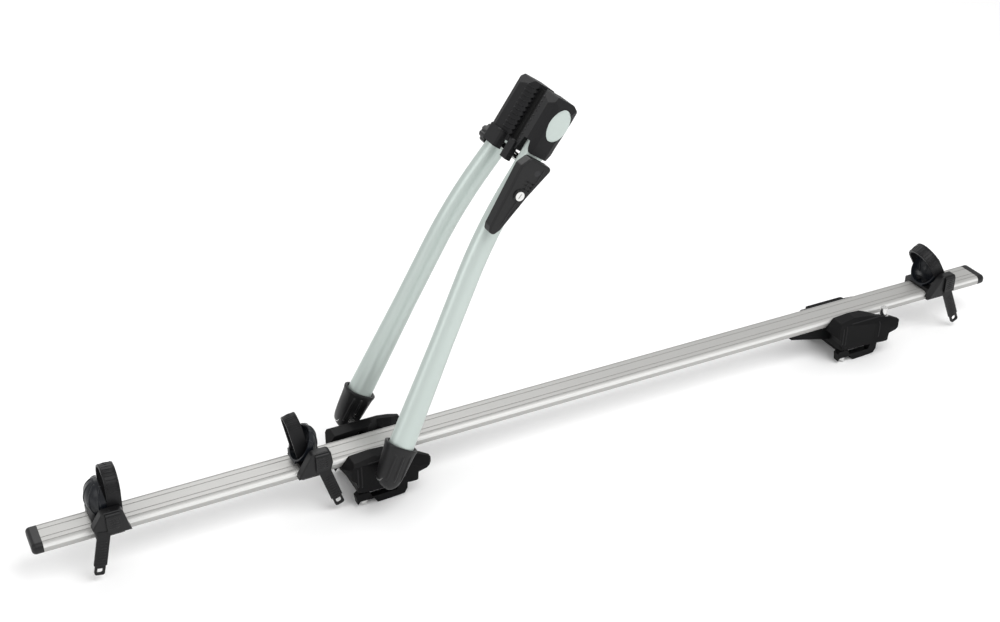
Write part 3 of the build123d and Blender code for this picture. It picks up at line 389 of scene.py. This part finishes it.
def makeBoot(label, side, pivot):
    # Rounded boot with a flared rim, which stands for the plain solid
    s = bootSettings
    across = leaning(s["lean"])[0]
    along = Vector((tan(radians(s["lean"])), -side * s["converge"], 1)).normalized()
    inward = across.cross(along)
    count, rows = s["around"], len(s["outline"])
    grid, faces = [], []
    for rise, deep, wide in s["outline"]:
        for turn in np.linspace(0, 2 * pi, count, endpoint=False):
            u = deep * mm * rounded(cos(turn), s["power"])
            w = s["halfWidth"] * wide * rounded(sin(turn), s["power"])
            v = rise * mm - max(rise, 0) / s["height"] * s["slant"] * u
            grid.append(pivot + across * u + along * v + inward * w)
    for i in range(rows - 1):
        for k in range(count):
            a, b = i * count + k, i * count + (k + 1) % count
            faces.append((a, b, b + count, a + count))
    faces.append(tuple(range(count))[::-1])
    faces.append(tuple((rows - 1) * count + k for k in range(count)))
    obj = makePiece(label + "BootShell", label + "_arm", "plastic", grid, faces)
    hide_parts(label + "_boot")
    return BVHTree.FromPolygons(grid, faces)


def makeBoots():
    s = bootSettings
    across, along = leaning(s["lean"])
    for label, side in sides:
        pivot = Vector((s["pivot"][0], side * s["pivot"][1], s["pivot"][2]))
        tree = makeBoot(label, side, pivot)
        lines = []
        for lane in s["lanes"]:
            start = pivot + across * lane
            ends = [start + along * r - towardFar * s["back"] for r in s["rise"]]
            lines.append((castLine(tree, ends, towardFar), s["rib"]))
        makeRibs(label + "BootRibs", label + "_arm", "plastic", lines)


def jawRibs():
    s = jawSettings
    across, along = leaning(s["lean"])
    for label, side in sides:
        tree = surfaceOf(label + "_jaw")
        lines = []
        for row in range(s["count"]):
            rise = s["pitch"] * (row + s["firstRow"])
            start = Vector(s["corner"]) + along * rise - across * s["back"]
            ends = [start + Vector((0, side * lane, 0)) for lane in s["lanes"]]
            lines.append((castLine(tree, ends, across, s["steps"]), s["rib"]))
        makeRibs(label + "JawRibs", label + "_arm", "grained", lines)


def leverRibs():
    s = leverSettings
    across, along = leaning(s["lean"])
    start = Vector(s["hinge"]) - towardFar * s["back"]
    tree = surfaceOf("clamp_lever")
    lines = []
    for line in s["lines"]:
        ends = [start + across * u + along * v for u, v in line]
        lines.append((castLine(tree, ends, towardFar, s["steps"]), s["rib"]))
    makeRibs("leverRibs", "lever", "plastic", lines)


def cupRibs(name, holder):
    s, facing = cupSettings, holder["facing"]
    centre = Vector((holder["place"] + facing * holder["bowl"][0], 0, holder["bowl"][1]))
    tree = surfaceOf(name + "_wheel_cup")
    lines = []
    for spin in s["spins"]:
        inner, outer = [], []
        for lift in np.linspace(*s["lifts"]):
            side, up = radians(spin), radians(lift)
            way = Vector((-facing * cos(side) * cos(up), sin(side) * cos(up), sin(up)))
            place = tree.ray_cast(centre, way, s["reach"])[0]
            if place is not None:
                inner.append((place, -way))
            place = tree.ray_cast(centre + way * s["back"], -way, s["reach"])[0]
            if place is not None and (place - centre).length > s["leastRadius"]:
                outer.append((place, way))
        lines += [(inner, s["innerRib"]), (outer, s["outerRib"])]
    makeRibs(name + "CupRibs", name + "_holder", "bluish", lines)


def strapRibs(name, holder):
    s, facing = strapSettings, holder["facing"]
    tree = surfaceOf(name + "_strap")
    lines = []
    across, along = leaning(facing * holder["lean"])
    foot = Vector((holder["place"] + facing * holder["base"], 0, s["root"]))
    rise = (holder["top"] - s["root"]) / cos(radians(holder["lean"]))
    middle = foot + along * (rise - holder["span"])

    def outward(turn):
        return Vector((0, sin(radians(turn)), 0)) + along * cos(radians(turn))

    # Short ribs across the loop, then one along each of its edges
    for turn in np.linspace(*s["turns"]):
        way = outward(turn)
        start = middle + way * s["back"]
        ends = [start + across * w for w in (-s["halfWidth"], s["halfWidth"])]
        lines.append((castLine(tree, ends, -way, s["steps"]), s["rib"]))
    for lane in s["edgeLanes"]:
        path = []
        for turn in np.linspace(*s["edgeTurns"]):
            way = outward(turn)
            start = middle + way * s["back"] + across * lane
            place = tree.ray_cast(start, -way, s["reach"])[0]
            if place is not None:
                path.append((place, way))
        lines.append((path, s["edgeRib"]))

    # Ribs down the loose tail
    tilt = radians(holder["tailLean"])
    down = Vector((-facing * sin(tilt), 0, -cos(tilt)))
    side = Vector((cos(tilt), 0, -facing * sin(tilt)))
    root = Vector((holder["place"] - facing * s["tailInset"], s["tailFront"], s["root"]))
    for drop in np.arange(*s["drops"]):
        ends = [root + down * drop + side * w for w in (-s["tailHalfWidth"], s["tailHalfWidth"])]
        lines.append((castLine(tree, ends, towardFar, s["steps"]), s["rib"]))
    makeRibs(name + "StrapRibs", name + "_holder", "strap", lines)


def releaseRibs(name):
    s = releaseSettings
    tree = surfaceOf(name + "_strap_release")
    low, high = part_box(name + "_strap_release")
    middle = (low[0] + high[0]) / 2
    lines = []
    for drop in np.linspace(*s["drops"]):
        z = high[2] + (low[2] - high[2]) * drop
        ends = [Vector((middle + w, s["front"], z)) for w in (-s["halfWidth"], s["halfWidth"])]
        lines.append((castLine(tree, ends, towardFar, s["steps"]), s["rib"]))
    makeRibs(name + "ReleaseRibs", name + "_release", "plastic", lines)


def coverRibs():
    s = coverSettings
    for foot, body, seat in s["feet"]:
        tree = surfaceOf(foot + "_near_cover")
        lines = []
        for lane, low, high in s["posts"]:
            ends = [Vector((seat + lane, s["front"], z)) for z in (low, high)]
            lines.append((castLine(tree, ends, towardFar), s["postRib"]))
        ends = [Vector((seat + x, s["front"], s["browHeight"])) for x in s["brow"]]
        lines.append((castLine(tree, ends, towardFar, s["browSteps"]), s["browRib"]))
        makeRibs(foot + "CoverRibs", body, "grained", lines)


makeBoots()
jawRibs()
leverRibs()
for name, holder in holderSettings.items():
    cupRibs(name, holder)
    strapRibs(name, holder)
    releaseRibs(name)
coverRibs()
print("ribs laid")


def makeCamera():
    s = cameraSettings
    data = bpy.data.cameras.new("camera")
    data.lens, data.sensor_width = s["lens"], s["sensor"]
    obj = bpy.data.objects.new("camera", data)
    obj.location = s["place"]
    obj.rotation_euler = (radians(90 - s["elevation"]), 0, radians(s["turn"]))
    bpy.context.scene.collection.objects.link(obj)
    bpy.context.scene.camera = obj


def makeLights():
    for s in lightSettings:
        data = bpy.data.lights.new(s["name"], "AREA")
        data.shape, data.size, data.energy = "DISK", s["size"], s["power"]
        obj = bpy.data.objects.new(s["name"], data)
        obj.location = s["place"]
        way = Vector(s["aim"]) - Vector(s["place"])
        obj.rotation_euler = way.to_track_quat("-Z", "Y").to_euler()
        bpy.context.scene.collection.objects.link(obj)
    world = bpy.data.worlds.new("studio")
    world.use_nodes = True
    background = world.node_tree.nodes["Background"]
    background.inputs["Color"].default_value = worldSettings["tint"] + (1,)
    background.inputs["Strength"].default_value = worldSettings["strength"]
    bpy.context.scene.world = world


def makeFloor():
    s = floorSettings
    low = cadBox[0][2] - s["gap"]
    half = s["size"] / 2
    mesh = bpy.data.meshes.new("floor")
    corners = [(-half, -half, low), (half, -half, low), (half, half, low), (-half, half, low)]
    mesh.from_pydata(corners, [], [(0, 1, 2, 3)])
    obj = bpy.data.objects.new("floor", mesh)
    bpy.context.scene.collection.objects.link(obj)
    mat = bpy.data.materials.new("floorPaper")
    mat.use_nodes = True
    shader = mat.node_tree.nodes["Principled BSDF"]
    shader.inputs["Base Color"].default_value = s["tint"] + (1,)
    shader.inputs["Roughness"].default_value = s["rough"]
    mesh.materials.append(mat)


makeCamera()
makeLights()
makeFloor()
bpy.context.scene.view_settings.view_transform = "Standard"
print("stage set")
